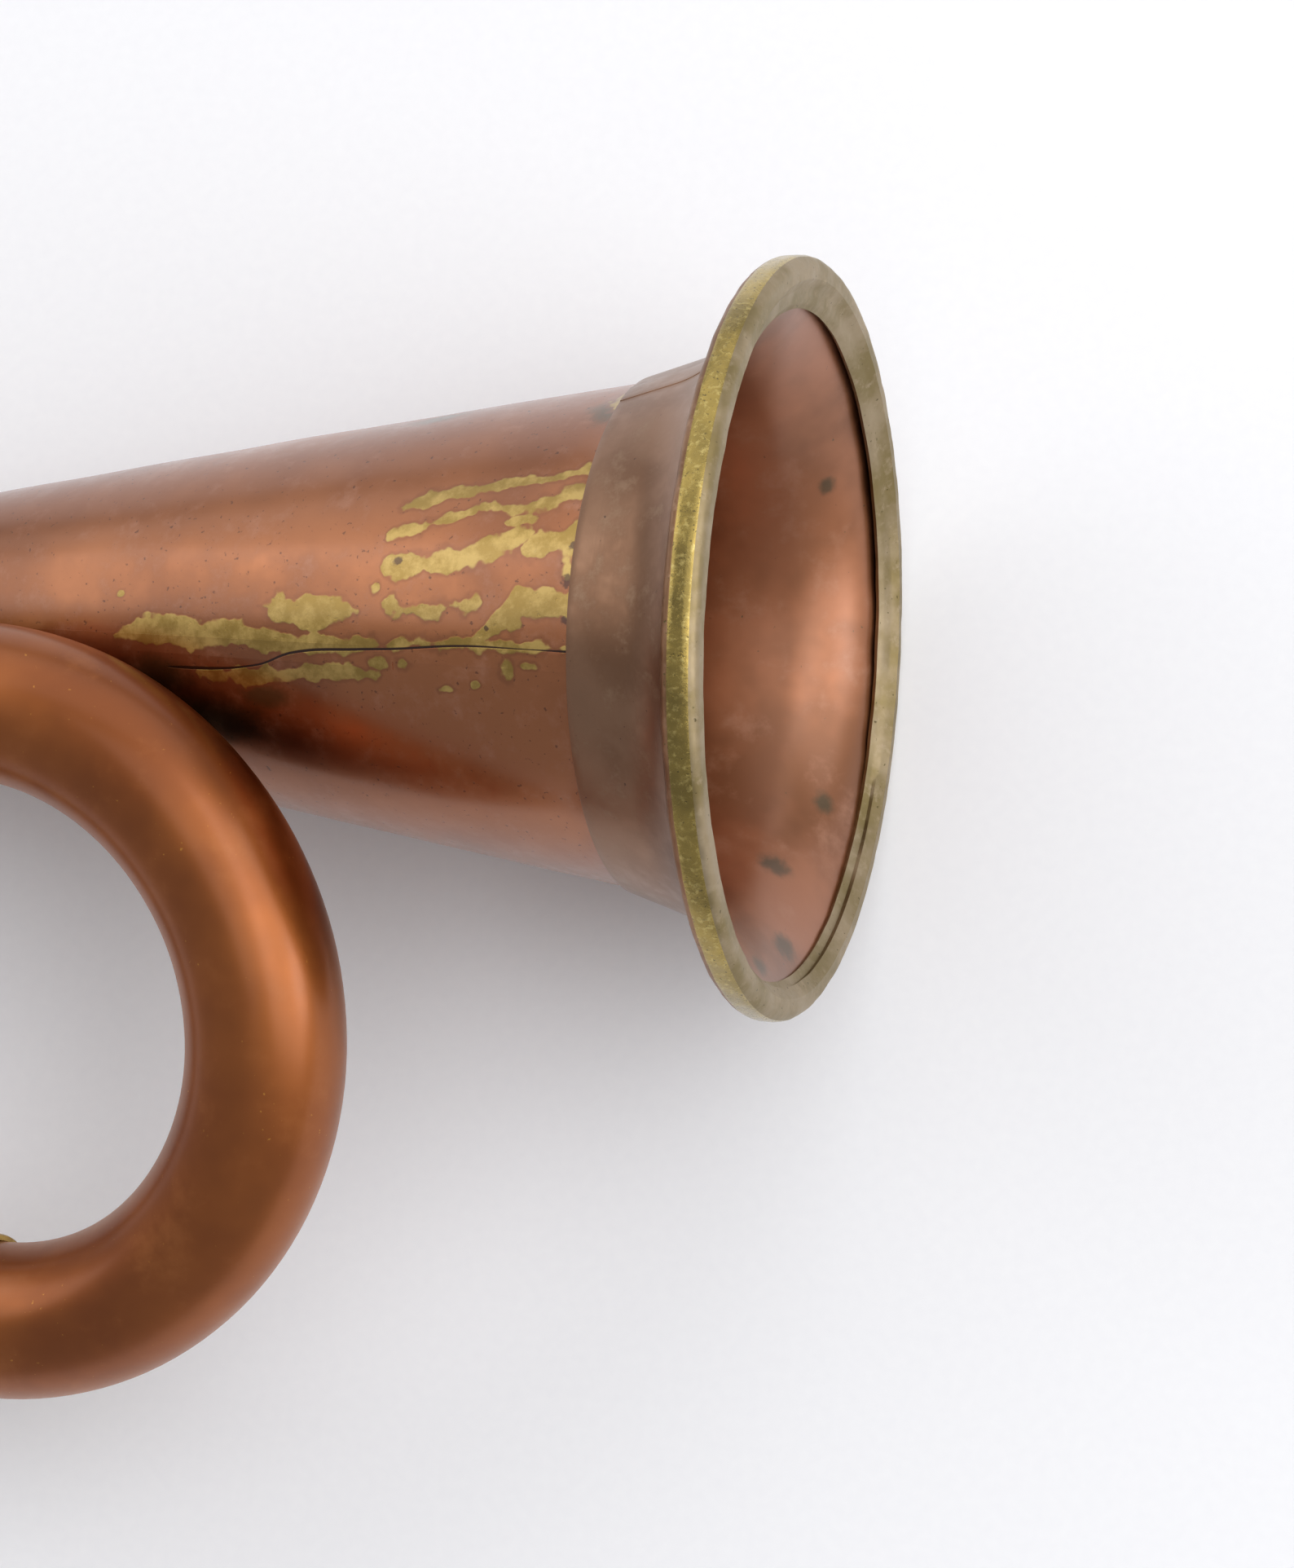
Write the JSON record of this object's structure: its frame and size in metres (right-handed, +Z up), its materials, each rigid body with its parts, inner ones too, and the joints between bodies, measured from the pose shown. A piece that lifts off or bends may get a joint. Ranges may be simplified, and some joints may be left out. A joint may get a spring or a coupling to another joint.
{
  "type": "bugle",
  "caption": "Single-coil copper bugle with a garlanded, brass-bound bell, soldered stays, sling rings and a removable mouthpiece.",
  "frame": {"origin": "centre of the footprint of the bugle as it lies on its side on a table, at the table's height", "axes": "+Z up from the table; +X along the table towards the bell's mouth, which points 10.4 degrees up; +Y from the coil's lower tube towards the bell tube"},
  "size_m": [0.3498, 0.1836, 0.1085],
  "materials": {
    "bell_copper": "aged sheet copper, satin, with brazing spelter stains",
    "garland_copper": "brown tarnished copper, brushed round",
    "coil_copper": "lacquered aged copper tube, glossy satin",
    "rim_brass": "tarnished folded brass, worn bright on the bead",
    "rim_wire_iron": "drawn iron wire",
    "fitting_brass": "tarnished turned brass",
    "ring_brass": "worn brass wire",
    "mouthpiece_brass": "turned brass, polished by use",
    "soft_solder": "dull grey-green soft solder"
  },
  "bodies": {
    "bugle": {"bell_cone": "bell_copper", "bell_garland": "garland_copper", "rim_binding": "rim_brass", "rim_wire": "rim_wire_iron", "left_bow": "coil_copper", "right_bow": "coil_copper", "lower_tube": "coil_copper", "leadpipe": "coil_copper", "bell_ferrule": "fitting_brass", "lower_left_ferrule": "fitting_brass", "lower_right_ferrule": "fitting_brass", "leadpipe_ferrule": "fitting_brass", "mouthpiece_receiver": "fitting_brass", "receiver_collar": "fitting_brass", "bow_solder": "soft_solder", "bell_sling_eye": "fitting_brass", "lower_sling_eye": "fitting_brass", "bell_stay_post": "fitting_brass", "bell_stay_lower_pad": "fitting_brass", "bell_stay_upper_pad": "fitting_brass", "bow_stay_post": "fitting_brass", "bow_stay_lower_pad": "fitting_brass", "bow_stay_upper_pad": "fitting_brass"},
    "mouthpiece": {"mouthpiece": "mouthpiece_brass"},
    "bell_sling_ring": {"bell_sling_ring": "ring_brass"},
    "lower_sling_ring": {"lower_sling_ring": "ring_brass"}
  },
  "joints": [
    {"name": "mouthpiece_pull", "type": "slide", "parent": "bugle", "child": "mouthpiece", "axis": [-0.9835, 0, -0.181], "range_m": [0, 0.03]},
    {"name": "bell_sling_ring_swing", "type": "hinge", "parent": "bugle", "child": "bell_sling_ring", "pos_m": [-0.01704, 0.05285, 0.02339], "axis": [-0.9835, 0, -0.181], "range_deg": [-208, 16]},
    {"name": "lower_sling_ring_swing", "type": "hinge", "parent": "bugle", "child": "lower_sling_ring", "pos_m": [-0.01703, -0.08836, 0.02336], "axis": [-0.9835, 0, -0.181], "range_deg": [-28, 196]}
  ]
}
